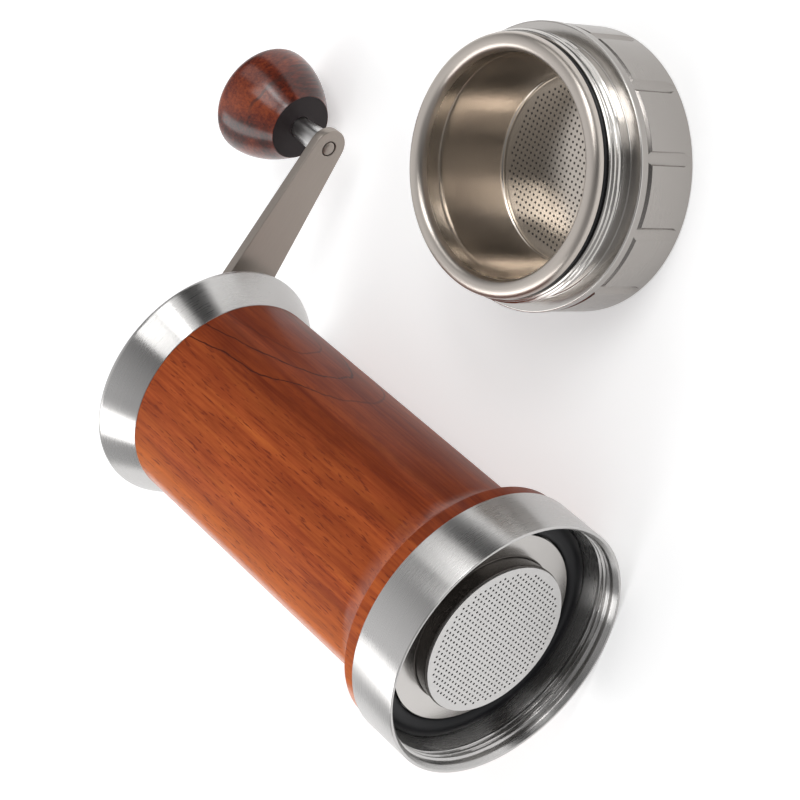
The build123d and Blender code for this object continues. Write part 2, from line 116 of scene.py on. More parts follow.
ARM_TIP_RADIUS = 5.0
ARM_SQUARE = 7.1
ARM_EDGE = 0.25
RIVET_RADIUS = 1.75
RIVET_HOLE_RADIUS = 2.0
SPINDLE_RADIUS = 2.7
KNOB_BORE_RADIUS = 4.4
KNOB_DOME_SHARE = 0.249
KNOB_CAVITY_SHARE = 0.3
KNOB_FLANK_POWER = 1.8
KNOB_DOME_POWER = 0.8
GRIP_HEIGHT = 14.6
GRIP_CHAMFER = 0.9
GRIP_GROOVE = 1.6
FOOT_CHAMFER = 0.3
FLANGE_HEIGHT = 15.2
RELIEF_HEIGHT = 17.5
COLLAR_THREAD_HEIGHTS = (20.8, 24.8)
COLLAR_HEIGHT = 25.0
COLLAR_BORE = 27.1
COLLAR_LIP = 25.1
COLLAR_FLOOR = 2.2
COLLAR_THREAD_GAP = 0.6
COLLAR_THREAD_DEPTH = 0.45
RELIEF_DEPTH = 0.7
NECK_EDGE = 0.4
FLUTE_COUNT = 12
FLUTE_WIDTH = 3.3
FLUTE_DEPTH = 0.9
FLUTE_FOOT = 0.6
FLUTE_RUNOUT = 2.4
BASKET_RADIUS = 26.0
BASKET_FOOT = 22.6
BASKET_HOLE_PITCH = 1.38
BASKET_HOLE_RADIUS = 0.32
BASKET_WALL = 0.8
BASKET_HOLE_BORDER = 2.2
BEAD_DROP = 4.0
BEAD_HEIGHT = 0.7
BEAD_DEPTH = 0.25

# Brightness of the surroundings from the left side (0) over the top (0.5) to the right side (1)
WORLD_LEVELS = [(0.0, 0.66), (0.11, 0.72), (0.31, 0.95), (0.5, 0.72), (0.66, 0.4), (0.82, 0.11), (1.0, 0.08)]
WORLD_BLUE = 1.01
FRONT_RANGE = (-0.3, 0.4)
FRONT_SHARE = 0.4
FLOOR_HALF = 6.0
FLOOR_GLOW = 0.42
SENSOR_WIDTH = 36.0
CLIP_START = 0.01

# Colours of the wood, and where they change: metres from the axis towards the arm, or along it from the mouth
LINE_COLOUR = (0.06, 0.015, 0.01, 1)
# Paler, more orange wood on the side facing the bright left lamp: outer-wood colour and painted light
SAP_AND_LIGHT_COLOUR = (0.78, 0.2, 0.03, 1)
SAP_AND_LIGHT_RANGE = (-0.006, -0.022)
SAP_AND_LIGHT_SHARE = 0.72
# Tint of the darker side towards the arm: core-wood colour and painted shade away from the bright lamp
HEART_AND_SHADE_TINT = (0.5, 0.42, 0.48, 1)
CLOUD_TINT = (0.76, 0.73, 0.74)
SIDE_WANDER = 0.012
LINES_OUTSIDE = (0.019, 0.0175)
LINES_INSIDE = (0.003, 0.01)
LINES_FADE = (-0.05, -0.078)
STRAY_LINES = 0.06
RIGHT_EDGE = (0.0235, 0.0265)
RIGHT_SHARE = 0.3
LEFT_EDGE = (-0.0165, -0.0195)
RUBBED_COAT = 0.7
FIBRE_SHARE = 0.34
WOOD_BUMP = 0.16
FINE_DEPTH = 0.00005
LATHE_DEPTH = 0.00004
BLACK = (0, 0, 0)
WHITE = (1, 1, 1)


def box_mm(node):
    """Lowest and highest corner of a CAD node, in millimetres."""
    low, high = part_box(node)
    return low / MM, high / MM


# Places from the frame
ring_low, ring_high = box_mm("base_ring")
wood_low, wood_high = box_mm("wood_barrel")
cap_low, cap_high = box_mm("top_cap")
head_low, head_high = box_mm("group_head")
screen_low, screen_high = box_mm("shower_screen")
gasket_low, gasket_high = box_mm("group_gasket")
arm_low, arm_high = box_mm("crank_arm")
spindle_low, spindle_high = box_mm("knob_spindle")
knob_low, knob_high = box_mm("knob")
bush_low, bush_high = box_mm("knob_bush")
collar_low, collar_high = box_mm("portafilter_collar")
basket_low, basket_high = box_mm("filter_basket")
seal_low, seal_high = box_mm("collar_seal")

floor_height = cad_low.z / MM
ring_radius = ring_high.z
tip_place = Vector((0, (spindle_low.y + spindle_high.y) / 2, (spindle_low.z + spindle_high.z) / 2))
porta_place = Vector(((collar_low.x + collar_high.x) / 2, (collar_low.y + collar_high.y) / 2, floor_height))

# A turned piece is made about its own Z axis.
# These put it on the barrel's axis, on the crank's tip or on the table.
ON_BARREL = Matrix.Rotation(pi / 2, 4, "Y")
ON_TIP = Matrix.Translation(tip_place * MM) @ ON_BARREL
ON_TABLE = Matrix.Translation(porta_place * MM)


def rounded(outline):
    """Closed outline of (axial, radius[, fillet]) points, its corners rounded where a fillet is given."""
    result = []
    count = len(outline)
    for i, corner in enumerate(outline):
        fillet = corner[2] if len(corner) > 2 else 0.0
        here = Vector(corner[:2])
        if not fillet:
            result.append((here.x, here.y, 0.0))
            continue
        before = Vector(outline[i - 1][:2]) - here
        after = Vector(outline[(i + 1) % count][:2]) - here
        reach = min(fillet, before.length * 0.48, after.length * 0.48)
        start = here + before.normalized() * reach
        end = here + after.normalized() * reach
        for step in range(FILLET_STEPS + 1):
            t = step / FILLET_STEPS
            point = start * (1 - t) ** 2 + here * 2 * t * (1 - t) + end * t ** 2
            result.append((point.x, point.y, 0.0))
    return result


def arc(start, through, end, steps=16):
    """Points of a smooth curve from start to end, pulled towards a third point."""
    a, b, c = Vector(start), Vector(through), Vector(end)
    points = []
    for step in range(steps + 1):
        t = step / steps
        p = a * (1 - t) ** 2 + b * 2 * t * (1 - t) + c * t ** 2
        points.append((p.x, p.y))
    return points


def thread_rows(start, end, radius, depth):
    """Rows of a thread from one axial place to another: (axial, radius, ridge height) with faded ends."""
    length = abs(end - start)
    count = max(2, round(length / THREAD_PITCH * THREAD_STEPS))
    rows = []
    for i in range(count + 1):
        t = i / count
        fade = min(1.0, min(t, 1 - t) * length / (THREAD_PITCH * THREAD_FADE))
        rows.append((start + (end - start) * t, radius, depth * fade))
    return rows


def ridge(turn):
    """Height share of a thread at a phase counted in turns: a flat-topped V."""
    return max(0.0, min(1.0, 2.6 * abs((turn % 1.0) - 0.5) * 2 - 0.8))


def turned_mesh(name, rows, segments=SEGMENTS):
    """Closed mesh of revolution about Z from rows of (axial, radius, ridge height)."""
    mesh = bmesh.new()
    rings = []
    for axial, radius, height in rows:
        ring = []
        for s in range(segments):
            angle = 2 * pi * s / segments
            r = radius + height * ridge(axial / THREAD_PITCH - s / segments) if height else radius
            ring.append(mesh.verts.new((r * cos(angle) * MM, r * sin(angle) * MM, axial * MM)))
        rings.append(ring)
    for i, ring in enumerate(rings):
        following = rings[(i + 1) % len(rings)]
        for s in range(segments):
            t = (s + 1) % segments
            mesh.faces.new((ring[s], ring[t], following[t], following[s]))
    bmesh.ops.remove_doubles(mesh, verts=mesh.verts, dist=MERGE_DISTANCE)
    bmesh.ops.recalc_face_normals(mesh, faces=mesh.faces)
    data = bpy.data.meshes.new(name)
    mesh.to_mesh(data)
    mesh.free()
    return data


def smooth(data, angle=CREASE_ANGLE):
    """Smooth shading with edges kept sharp where faces meet at more than the angle."""
    data.polygons.foreach_set("use_smooth", [True] * len(data.polygons))
    data.set_sharp_from_angle(angle=radians(angle))
    for polygon in data.polygons:
        if abs(polygon.normal.z) > 0.9999:
            polygon.use_smooth = False
    return data


def piece(name, data, place, material, body, replaced):
    """Puts a mesh into the scene as a piece that rides on a body and stands for CAD nodes."""
    obj = bpy.data.objects.new(name, data)
    bpy.context.scene.collection.objects.link(obj)
    obj.matrix_world = place
    data.materials.clear()
    data.materials.append(material)
    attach(obj, body)
    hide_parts(replaced)
    return obj


def flat_plate(name, loops, thickness, bevel=0.0, bevel_steps=2):
    """Plate about z = 0 from closed loops of (x, y): the outline first, then the holes."""
    curve = bpy.data.curves.new(name, "CURVE")
    curve.dimensions = "2D"
    curve.fill_mode = "BOTH"
    curve.extrude = (thickness / 2 - bevel) * MM
    curve.bevel_depth = bevel * MM
    curve.bevel_resolution = bevel_steps
    curve.offset = -bevel * MM
    for loop in loops:
        spline = curve.splines.new("POLY")
        spline.points.add(len(loop) - 1)
        for point, (x, y) in zip(spline.points, loop):
            point.co = (x * MM, y * MM, 0, 1)
        spline.use_cyclic_u = True
    holder = bpy.data.objects.new(name, curve)
    bpy.context.scene.collection.objects.link(holder)
    data = bpy.data.meshes.new_from_object(holder.evaluated_get(bpy.context.evaluated_depsgraph_get()))
    bpy.data.objects.remove(holder)
    bpy.data.curves.remove(curve)
    data.name = name
    mesh = bmesh.new()
    mesh.from_mesh(data)
    bmesh.ops.remove_doubles(mesh, verts=mesh.verts, dist=MERGE_DISTANCE)
    bmesh.ops.recalc_face_normals(mesh, faces=mesh.faces)
    mesh.to_mesh(data)
    mesh.free()
    return data


def circle(radius, sides, centre=(0, 0)):
    """Corners of a regular polygon."""
    angles = [2 * pi * i / sides for i in range(sides)]
    return [(centre[0] + radius * cos(a), centre[1] + radius * sin(a)) for a in angles]


def hole_field(field_radius, pitch, row_step, stagger, hole_radius):
    """Rows of small holes that fill a circle, every other row shifted by a share of the pitch."""
    loops = []
    rows = int(field_radius / row_step)
    for j in range(-rows, rows + 1):
        y = j * row_step
        shift = pitch * stagger if j % 2 else 0.0
        count = int(field_radius / pitch) + 1
        for i in range(-count, count + 1):
            x = i * pitch + shift
            if hypot(x, y) <= field_radius:
                loops.append(circle(hole_radius, HOLE_SIDES, (x, y)))
    return loops


def joined(name, meshes):
    """One mesh from several (mesh, matrix) pairs."""
    whole = bmesh.new()
    for data, place in meshes:
        part = data.copy()
        part.transform(place)
        whole.from_mesh(part)
        bpy.data.meshes.remove(part)
    data = bpy.data.meshes.new(name)
    whole.to_mesh(data)
    whole.free()
    return data


class Graph:
    """Shorthand for building one material's nodes."""

    def __init__(self, name, **constants):
        self.material = bpy.data.materials.new(name)
        self.material.use_nodes = True
        self.tree = self.material.node_tree
        self.shader = self.tree.nodes["Principled BSDF"]
        for socket, value in constants.items():
            self.shader.inputs[socket.replace("_", " ")].default_value = value

    def add(self, kind, settings=None, **sockets):
        """A new node: settings are its properties, and sockets are values or other nodes' outputs."""
        made = self.tree.nodes.new(kind)
        for key, value in (settings or {}).items():
            setattr(made, key, value)
        for key, value in sockets.items():
            numbered = key[0] == "i" and key[1:].isdigit()
            self.feed(made.inputs[int(key[1:]) if numbered else key], value)
        return made

    def feed(self, socket, value):
        """Sets a socket to a constant or links an output to it."""
        if isinstance(value, bpy.types.NodeSocket):
            self.tree.links.new(value, socket)
        else:
            socket.default_value = value

    def maths(self, operation, a, b=0.0):
        """Output of one arithmetic step."""
        return self.add("ShaderNodeMath", {"operation": operation}, i0=a, i1=b).outputs[0]

    def ramp(self, factor, stops):
        """Colour ramp output from (position, colour) stops."""
        made = self.add("ShaderNodeValToRGB", i0=factor)
        elements = made.color_ramp.elements
        while len(elements) < len(stops):
            elements.new(0.5)
        for element, (position, colour) in zip(elements, stops):
            element.position = position
            element.color = (*colour, 1.0)
        return made.outputs[0]

    def noise(self, vector, scale, detail=4.0, roughness=0.55, distortion=0.0):
        """Value output of a noise texture."""
        made = self.add("ShaderNodeTexNoise", Vector=vector, Scale=scale, Detail=detail)
        made.inputs["Roughness"].default_value = roughness
        made.inputs["Distortion"].default_value = distortion
        return made.outputs[0]

    def mapped(self, vector, scale, shift=(0, 0, 0)):
        """Vector scaled and shifted."""
        made = self.add("ShaderNodeMapping", Vector=vector)
        made.inputs["Scale"].default_value = scale
        made.inputs["Location"].default_value = shift
        return made.outputs[0]

    def between(self, factor, low, high):
        """A value from low to high as the factor goes from 0 to 1."""
        made = self.add("ShaderNodeMapRange", i0=factor)
        made.inputs["To Min"].default_value = low
        made.inputs["To Max"].default_value = high
        return made.outputs[0]

    def rise(self, value, start, end):
        """0 to 1 as the value goes from start to end."""
        made = self.add("ShaderNodeMapRange", i0=value)
        made.inputs["From Min"].default_value = start
        made.inputs["From Max"].default_value = end
        return made.outputs[0]

    def mix(self, factor, a, b, blend="MIX"):
        """Mix of two colours."""
        made = self.add("ShaderNodeMix", {"data_type": "RGBA", "blend_type": blend})
        self.feed(made.inputs[0], factor)
        self.feed(made.inputs[6], a)
        self.feed(made.inputs[7], b)
        return made.outputs[2]

    def bump(self, height, strength, distance):
        """Links a bump of the given height to the shader."""
        made = self.add("ShaderNodeBump", Height=height, Strength=strength)
        made.inputs["Distance"].default_value = distance
        self.feed(self.shader.inputs["Normal"], made.outputs[0])

    def place(self):
        """Coordinates on the piece itself."""
        return self.add("ShaderNodeTexCoord").outputs["Object"]


def turned_steel(name, colour, dark, rough, anisotropy, line_strength):
    """Steel finished on a lathe: fine lines round the piece's own axis, and highlights drawn across them."""
    g = Graph(name, Metallic=1.0, Anisotropic=anisotropy, Anisotropic_Rotation=0.25)
    split = g.add("ShaderNodeSeparateXYZ", i0=g.place())
    x, y, z = split.outputs
    radius = g.maths("SQRT", g.maths("ADD", g.maths("MULTIPLY", x, x), g.maths("MULTIPLY", y, y)))
    slow_x = g.maths("MULTIPLY", x, 0.02)
    slow_y = g.maths("MULTIPLY", y, 0.02)
    across = g.add(
        "ShaderNodeCombineXYZ", i0=g.maths("ADD", radius, slow_x), i1=g.maths("ADD", z, slow_y), i2=slow_x)
    lines = g.noise(across.outputs[0], 6000.0, 3.0, 0.7)
    clouds = g.noise(g.place(), 60.0, 3.0)
    g.feed(g.shader.inputs["Base Color"], g.mix(g.between(lines, 0.15, 0.85), (*dark, 1), (*colour, 1)))
    fine = g.between(lines, -0.5 * line_strength, 0.5 * line_strength)
    patchy = g.maths("ADD", fine, g.between(clouds, -0.04, 0.04))
    g.feed(g.shader.inputs["Roughness"], g.maths("ADD", patchy, rough))
    tangent = g.add("ShaderNodeTangent", {"direction_type": "RADIAL", "axis": "Z"})
    g.feed(g.shader.inputs["Tangent"], tangent.outputs[0])
    g.bump(lines, line_strength, LATHE_DEPTH)
    return g.material


def brushed_plate(name, colour, dark, rough, grain):
    """Flat steel brushed along one direction of the piece."""
    g = Graph(name, Metallic=1.0)
    lines = g.noise(g.mapped(g.place(), grain), 3000.0, 3.0, 0.65)
    clouds = g.noise(g.place(), 90.0, 3.0)
    g.feed(g.shader.inputs["Base Color"], g.mix(g.between(lines, 0.2, 0.8), (*dark, 1), (*colour, 1)))
    g.feed(g.shader.inputs["Roughness"], g.maths("ADD", g.between(clouds, -0.05, 0.05), rough))
    g.bump(lines, 0.06, LATHE_DEPTH)
    return g.material


def plain_grained(name, colours, rough, metallic, scale, strength, gloss=0.5):
    """Rubber, plastic or cast metal with a fine cloudy grain."""
    g = Graph(name, Metallic=metallic, Specular_IOR_Level=gloss)
    fine = g.noise(g.place(), scale, 5.0)
    cloud = g.noise(g.place(), scale / 12, 3.0)
    shade = g.mix(g.between(cloud, 0.1, 0.9), (*colours[0], 1), (*colours[1], 1))
    g.feed(g.shader.inputs["Base Color"], shade)
    g.feed(g.shader.inputs["Roughness"], g.between(fine, rough - 0.07, rough + 0.07))
    g.bump(fine, strength, FINE_DEPTH)
    return g.material


def hardwood(name, stops, grain, pith, gloss, shine, rough, line_share, mottle, pore_share,
             heart_and_shade=None, worn=None):
    """Oiled red hardwood: streaked fibres, blotches, pores and thin dark growth lines.

    The gloss is the coat's weight and roughness. The pith is the centre, lean, stretch and scale of the growth
    lines. The heart is where the darker side begins and is full: darker core-wood colour and painted shade on
    the side away from the bright lamp, while the other side gets paler outer-wood colour and painted light. The
    worn zone is polished by hands.
    """
    g = Graph(name, Coat_Weight=gloss[0], Coat_Roughness=gloss[1], Coat_IOR=1.6, Specular_IOR_Level=shine)
    turn = g.add("ShaderNodeMapping", Vector=g.place())
    turn.inputs["Rotation"].default_value = grain
    place = turn.outputs[0]
    parts = g.add("ShaderNodeSeparateXYZ", i0=place)
    fibres = g.noise(g.mapped(place, (1, 1, 0.03)), 1500.0, 4.0, 0.6)
    streaks = g.noise(g.mapped(place, (1, 1, 0.05)), 330.0, 5.0, 0.6, 0.3)
    blotches = g.noise(g.mapped(place, (1, 1, 0.3)), 70.0, 4.0, 0.6, 0.8)
    streak_share = 1 - FIBRE_SHARE - mottle
    tone = g.maths("ADD", g.maths("MULTIPLY", fibres, FIBRE_SHARE), g.maths("MULTIPLY", streaks, streak_share))
    tone = g.maths("ADD", tone, g.maths("MULTIPLY", blotches, mottle))
    colour = g.ramp(tone, stops)
    centre, lean, stretch, scale = pith
    rings = g.add("ShaderNodeMapping", Vector=place)
    rings.inputs["Location"].default_value = centre
    rings.inputs["Rotation"].default_value = lean
    rings.inputs["Scale"].default_value = stretch
    wave = {"wave_type": "RINGS", "rings_direction": "Z", "wave_profile": "SIN"}
    lines = g.add("ShaderNodeTexWave", wave, Vector=rings.outputs[0], Scale=scale, Distortion=3.0, Detail=5.0)
    lines.inputs["Detail Scale"].default_value = 1.3
    shown = g.ramp(g.noise(g.mapped(place, (1, 1, 0.5), (0.3, 0.1, 0.2)), 55.0, 2.0),
                   [(0.0, BLACK), (0.42, BLACK), (0.54, WHITE)])
    if heart_and_shade:
        side = g.maths("ADD", parts.outputs["Y"], g.between(blotches, -SIDE_WANDER, SIDE_WANDER))
        clouds = g.noise(g.mapped(place, (1, 1, 0.2), (0.2, 0.5, 0.7)), 160.0, 4.0, 0.65)
        colour = g.mix(1.0, colour, g.ramp(clouds, [(0.38, CLOUD_TINT), (0.6, WHITE)]), "MULTIPLY")
        # Paler outer-wood colour towards the left lamp: the wood's own tone and painted light
        sap_and_light = g.maths("MULTIPLY", g.rise(side, *SAP_AND_LIGHT_RANGE), SAP_AND_LIGHT_SHARE)
        colour = g.mix(sap_and_light, colour, SAP_AND_LIGHT_COLOUR)
        # Darker tint towards the arm: core-wood colour and painted shade on the side away from the bright lamp
        colour = g.mix(g.rise(side, *heart_and_shade), colour, HEART_AND_SHADE_TINT, "MULTIPLY")
        x, y, _ = g.add("ShaderNodeSeparateXYZ", i0=rings.outputs[0]).outputs
        away = g.maths("SQRT", g.maths("ADD", g.maths("MULTIPLY", x, x), g.maths("MULTIPLY", y, y)))
        near = g.maths("MULTIPLY", g.rise(away, *LINES_OUTSIDE), g.rise(away, *LINES_INSIDE))
        near = g.maths("MULTIPLY", near, g.rise(parts.outputs["Z"], *LINES_FADE))
        shown = g.maths("MAXIMUM", g.maths("MULTIPLY", shown, STRAY_LINES), near)
    if worn:
        along = parts.outputs["Z"]
        rubbed = g.maths("MULTIPLY", g.rise(along, worn[0], worn[1]), g.rise(along, worn[3], worn[2]))
        across = parts.outputs["Y"]
        right = g.maths("MULTIPLY", g.rise(across, *RIGHT_EDGE), RIGHT_SHARE)
        sides = g.maths("MAXIMUM", right, g.rise(across, *LEFT_EDGE))
        coat = g.maths("MULTIPLY", g.maths("MAXIMUM", rubbed, sides), RUBBED_COAT)
        g.feed(g.shader.inputs["Coat Weight"], coat)
    line_mask = g.ramp(lines.outputs[1], [(0.0, BLACK), (0.98, BLACK), (0.997, WHITE)])
    pores = g.noise(g.mapped(place, (1, 1, 0.12)), 2000.0, 2.0, 0.5)
    pore_mask = g.ramp(pores, [(0.0, BLACK), (0.6, BLACK), (0.66, WHITE)])
    dark = (*stops[0][1], 1)
    line_part = g.maths("MULTIPLY", g.maths("MULTIPLY", line_mask, shown), line_share)
    lined = g.mix(line_part, colour, LINE_COLOUR)
    g.feed(g.shader.inputs["Base Color"], g.mix(g.maths("MULTIPLY", pore_mask, pore_share), lined, dark))
    g.feed(g.shader.inputs["Roughness"], g.between(streaks, rough - 0.05, rough + 0.05))
    relief = g.maths("SUBTRACT", g.maths("MULTIPLY", fibres, 0.4), g.maths("MULTIPLY", pore_mask, 0.8))
    g.bump(relief, WOOD_BUMP, FINE_DEPTH)
    return g.material


# Turned metals: bright and dark colour, roughness, anisotropy, strength of the lines
STEEL = turned_steel("turned_steel", (0.57, 0.56, 0.55), (0.48, 0.47, 0.46), 0.28, 0.9, 0.1)
COLLAR_STEEL = turned_steel("collar_steel", (0.4, 0.375, 0.355), (0.34, 0.32, 0.3), 0.26, 0.5, 0.07)
NECK_STEEL = turned_steel("neck_steel", (0.6, 0.575, 0.55), (0.52, 0.5, 0.475), 0.2, 0.6, 0.05)
FINE_STEEL = turned_steel("fine_turned_steel", (0.58, 0.56, 0.54), (0.5, 0.48, 0.46), 0.22, 0.45, 0.05)
BASKET_STEEL = turned_steel("basket_steel", (0.56, 0.51, 0.455), (0.535, 0.487, 0.433), 0.2, 0.5, 0.005)
RIM_STEEL = turned_steel("rim_steel", (0.53, 0.485, 0.44), (0.48, 0.435, 0.395), 0.32, 0.5, 0.03)
# Steel darkened to paint the shade in the gap round the screen's boss and inside the basket's floor holes
PAINTED_SHADE_STEEL = turned_steel("painted_shade_steel", (0.11, 0.1, 0.092), (0.085, 0.077, 0.071), 0.26, 0.4, 0.05)
POLISHED = turned_steel("polished_steel", (0.7, 0.69, 0.68), (0.64, 0.63, 0.62), 0.28, 0.5, 0.02)
BRONZE = turned_steel("turned_bronze", (0.62, 0.42, 0.2), (0.5, 0.32, 0.14), 0.3, 0.4, 0.08)

# Brushed plate: bright and dark colour, roughness, stretch of the grain
ARM_STEEL = brushed_plate("brushed_arm_steel", (0.395, 0.35, 0.312), (0.33, 0.29, 0.258), 0.42, (0.04, 1, 1))

# Grained materials: two colours, roughness, metal share, fineness, strength of the grain, gloss
SCREEN_STEEL = plain_grained("screen_steel", [(0.55, 0.54, 0.53), (0.62, 0.61, 0.6)], 0.42, 1.0, 2600.0, 0.08)
RUBBER = plain_grained(
    "black_rubber", [(0.007, 0.007, 0.009), (0.014, 0.014, 0.017)], 0.36, 0.0, 2200.0, 0.08, 0.2)
BLACK_PLASTIC = plain_grained(
    "black_plastic", [(0.022, 0.015, 0.016), (0.034, 0.024, 0.026)], 0.45, 0.0, 3000.0, 0.1, 0.25)
ACETAL = plain_grained("white_acetal", [(0.72, 0.71, 0.68), (0.8, 0.79, 0.77)], 0.45, 0.0, 1500.0, 0.05)

BARREL_WOOD = hardwood(
    "barrel_hardwood",
    stops=[
        (0.3, (0.18, 0.033, 0.014)), (0.43, (0.33, 0.062, 0.019)),
        (0.53, (0.46, 0.1, 0.027)), (0.7, (0.61, 0.16, 0.036)),
    ],
    grain=(0, 0, 0), pith=((0.0014, -0.0606, 0.0), (0.646, 0, 0), (0.8, 1, 0.6), 69.8),
    gloss=(0.0, 0.24), shine=0.06, rough=0.5, line_share=0.95, mottle=0.26, pore_share=0.8,
    # The darker side with painted shade begins 15 mm towards the arm and is full at 27 mm
    heart_and_shade=(0.015, 0.027), worn=(-0.0265, -0.0235, -0.0195, -0.0185),
)
KNOB_WOOD = hardwood(
    "knob_hardwood",
    stops=[
        (0.38, (0.019, 0.0045, 0.003)), (0.46, (0.068, 0.011, 0.005)),
        (0.53, (0.145, 0.02, 0.007)), (0.64, (0.275, 0.051, 0.013)),
    ],
    grain=(0.3, 1.25, 0), pith=((0.01, 0.02, 0.0), (0, 0, 0), (1, 1, 0.2), 30.0),
    gloss=(0.7, 0.2), shine=0.05, rough=0.4, line_share=0.8, mottle=0.62, pore_share=0.3,
)


def make_wood_barrel():
    """Straight sleeve, cove and lip."""
    bore = box_mm("cylinder")[1].z
    x_lip = wood_high.x - LIP_THICKNESS
    x_cove = x_lip - COVE_LENGTH
    lip = wood_high.z
    top = lip - COVE_STEP
    outline = [(wood_low.x, bore), (wood_low.x, BARREL_RADIUS, 0.25)]
    outline += arc((x_cove, BARREL_RADIUS), (x_lip - COVE_PULL, BARREL_RADIUS), (x_lip, top))
    outline += [(x_lip + 0.3, lip, LIP_ROUND), (wood_high.x, lip, 0.15), (wood_high.x, bore)]
    data = smooth(turned_mesh("wood_barrel_form", rounded(outline)))
    return piece("wood_barrel_form", data, ON_BARREL, BARREL_WOOD, "barrel", "wood_barrel")


def make_base_ring():
    """Ring with a chamfered mouth, a fine internal thread and a floor."""
    socket = ring_radius - RING_WALL + SOCKET_RELIEF
    bore = box_mm("cylinder")[1].z
    floor_front = gasket_low.x
    outer = rounded([
        (-MOUTH_CHAMFER, socket, 0.2),
        (0, socket + MOUTH_CHAMFER - RING_EDGE, 0.2),
        (0, ring_radius, RING_EDGE),
        (ring_low.x, ring_radius, 0.2),
        (ring_low.x, bore),
        (floor_front, bore),
        (floor_front, gasket_high.z + 0.1),
        (gasket_high.x - 0.3, gasket_high.z + 0.1),
    ])
    thread = thread_rows(*SOCKET_THREAD, socket, -THREAD_DEPTH)
    data = smooth(turned_mesh("base_ring_form", outer + thread))
    return piece("base_ring_form", data, ON_BARREL, STEEL, "barrel", "base_ring")


def make_group_head():
    """Plate with its boss, the rim of the boss eased."""
    boss = screen_high.z + BOSS_MARGIN
    spigot = box_mm("head_seal")[1].z
    outline = [
        (screen_low.x - HEAD_RECESS, 0), (screen_low.x - HEAD_RECESS, boss - HEAD_RIM),
        (screen_low.x, boss - HEAD_RIM, 0.1), (screen_low.x, boss, 0.3),
        (gasket_high.x, boss - BOSS_TAPER, 0.5), (gasket_high.x, head_high.z, 0.2), (gasket_low.x, head_high.z),
        (gasket_low.x, spigot), (head_low.x, spigot), (head_low.x, 0),
    ]
    data = smooth(turned_mesh("group_head_form", rounded(outline)))
    made = piece("group_head_form", data, ON_BARREL, FINE_STEEL, "barrel", "group_head")
    # The boss's wall, in the gap round the screen, takes the steel with painted shade
    data.materials.append(PAINTED_SHADE_STEEL)
    for polygon in data.polygons:
        reach = hypot(polygon.center.x, polygon.center.y) / MM
        height = polygon.center.z / MM
        polygon.material_index = int(reach < boss + BOSS_MARGIN and height > gasket_high.x - 0.1)
    return made


def make_shower_screen():
    """Disc with fine staggered holes."""
    radius = screen_high.z
    loops = [circle(radius, SEGMENTS)] + hole_field(
        radius - SCREEN_BORDER, SCREEN_HOLE_PITCH, SCREEN_ROW_STEP, 0.5, SCREEN_HOLE_RADIUS)
    thickness = screen_high.x - screen_low.x
    data = smooth(flat_plate("shower_screen_form", loops, thickness), FLAT_CREASE)
    lift = Matrix.Translation((0, 0, (screen_low.x + thickness / 2) * MM))
    place = ON_BARREL @ lift @ Matrix.Rotation(pi / 2, 4, "Z")
    return piece("shower_screen_form", data, place, SCREEN_STEEL, "barrel", "shower_screen")


def make_group_gasket():
    """Black gasket with a round face."""
    inner = head_high.z + 0.1
    outer = gasket_high.z
    middle = (inner + outer) / 2
    edge = gasket_high.x - GASKET_BULGE
    outline = [(gasket_low.x, inner)]
    for i in range(FACE_STEPS + 1):
        turn = pi * i / FACE_STEPS
        outline.append((edge + 2 * GASKET_BULGE * sin(turn), middle - (outer - inner) / 2 * cos(turn)))
    outline.append((gasket_low.x, outer))
    data = smooth(turned_mesh("group_gasket_form", rounded(outline)), SOFT_CREASE)
    return piece("group_gasket_form", data, ON_BARREL, RUBBER, "barrel", "group_gasket")


def make_top_cap():
    """Flared cap with a crisp rim and a shallow recess in its back."""
    socket = box_mm("cylinder")[1].z
    bush = box_mm("shaft_bush")[1].z
    wall = box_mm("thrust_washer_rear")[0].x
    rim = cap_high.z
    back = cap_low.x
    recess = back + CAP_RECESS
    outline = [
        (cap_high.x, socket), (cap_high.x, BARREL_RADIUS, 0.15),
        (back + 0.9, rim - 0.1, 0.4), (back, rim - 0.3, 0.4),
        (back, rim - CAP_LAND, 0.3), (recess, rim - CAP_LAND - CAP_SLOPE, 0.6), (recess, bush + CAP_SLOPE, 0.6),
        (back, bush, 0.2), (back, CAP_JOURNAL), (wall, CAP_JOURNAL), (wall, socket),
    ]
    data = smooth(turned_mesh("top_cap_form", rounded(outline)))
    return piece("top_cap_form", data, ON_BARREL, STEEL, "barrel", "top_cap")


def make_crank_arm():
    """Tapered flat arm with eased edges, a square hole at its hub and a round one at its tip."""
    length = tip_place.length
    lean = (ARM_HUB_RADIUS - ARM_TIP_RADIUS) / length
    start = atan2(sqrt(1 - lean ** 2), lean)
    outline = []
    for i in range(CURVE_STEPS + 1):
        a = start + (2 * pi - 2 * start) * i / CURVE_STEPS
        outline.append((ARM_HUB_RADIUS * cos(a), ARM_HUB_RADIUS * sin(a)))
    for i in range(CURVE_STEPS + 1):
        a = -start + 2 * start * i / CURVE_STEPS
        outline.append((length + ARM_TIP_RADIUS * cos(a), ARM_TIP_RADIUS * sin(a)))
    square = [(s * ARM_SQUARE / 2, t * ARM_SQUARE / 2) for s, t in ((1, 1), (-1, 1), (-1, -1), (1, -1))]
    loops = [outline, square, circle(RIVET_HOLE_RADIUS, 32, (length, 0))]
    thickness = arm_high.x - arm_low.x
    data = smooth(flat_plate("crank_arm_form", loops, thickness, ARM_EDGE), FLAT_CREASE)
    angle = atan2(tip_place.z, tip_place.y)
    across = Matrix(((0, 0, 1, 0), (1, 0, 0, 0), (0, 1, 0, 0), (0, 0, 0, 1)))
    middle = Matrix.Translation(((arm_low.x + thickness / 2) * MM, 0, 0))
    place = middle @ Matrix.Rotation(angle, 4, "X") @ across
    return piece("crank_arm_form", data, place, ARM_STEEL, "crank", "crank_arm")


